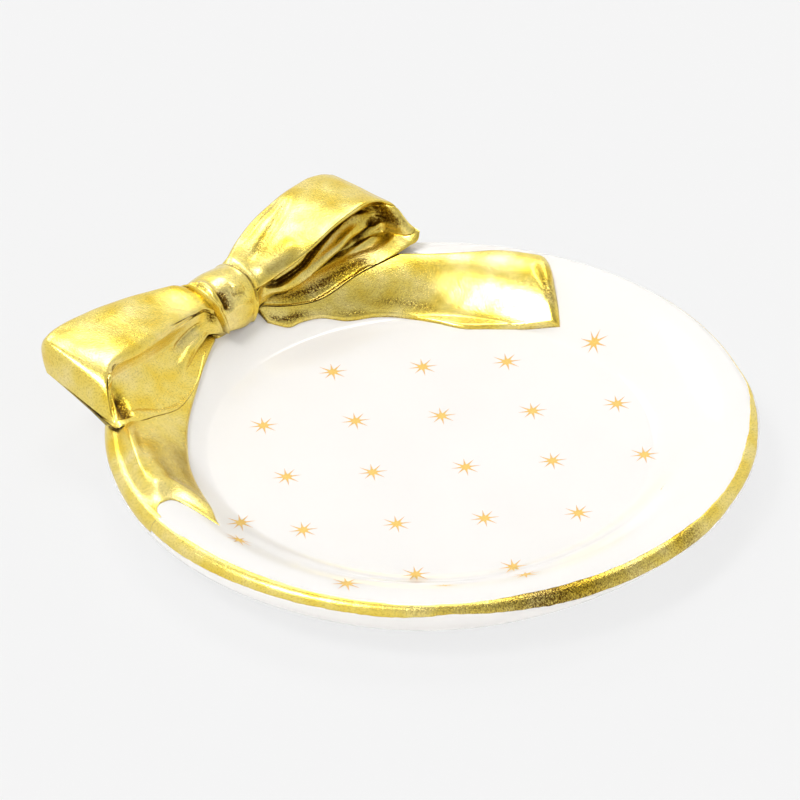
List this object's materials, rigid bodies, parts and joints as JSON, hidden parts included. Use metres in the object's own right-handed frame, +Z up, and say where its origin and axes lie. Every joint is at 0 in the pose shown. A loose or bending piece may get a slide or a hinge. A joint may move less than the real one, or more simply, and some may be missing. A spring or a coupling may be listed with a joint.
{
  "type": "trinket dish",
  "caption": "Shallow round ceramic trinket dish with a thick gold-lined lip, a raised ribbon bow on the rim and a scattered gold star print.",
  "frame": {"origin": "middle of the foot's flat face, on the surface that the dish stands on", "axes": "+Z up out of the dish, +Y towards the bow on the rim, +X towards the bow's right-hand tail"},
  "size_m": [0.127, 0.1314, 0.0225],
  "materials": {
    "white_glaze": "glossy white glaze",
    "lip_gold": "hand-painted bright gold lustre",
    "bow_gold": "brushed-on bright gold lustre, slightly grainy"
  },
  "bodies": {
    "root": {"dish_body": "white_glaze", "rim_gilding": "lip_gold", "bow_loop_right": "bow_gold", "bow_loop_left": "bow_gold", "bow_tail_right": "bow_gold", "bow_tail_left": "bow_gold", "bow_knot": "bow_gold"}
  },
  "joints": []
}
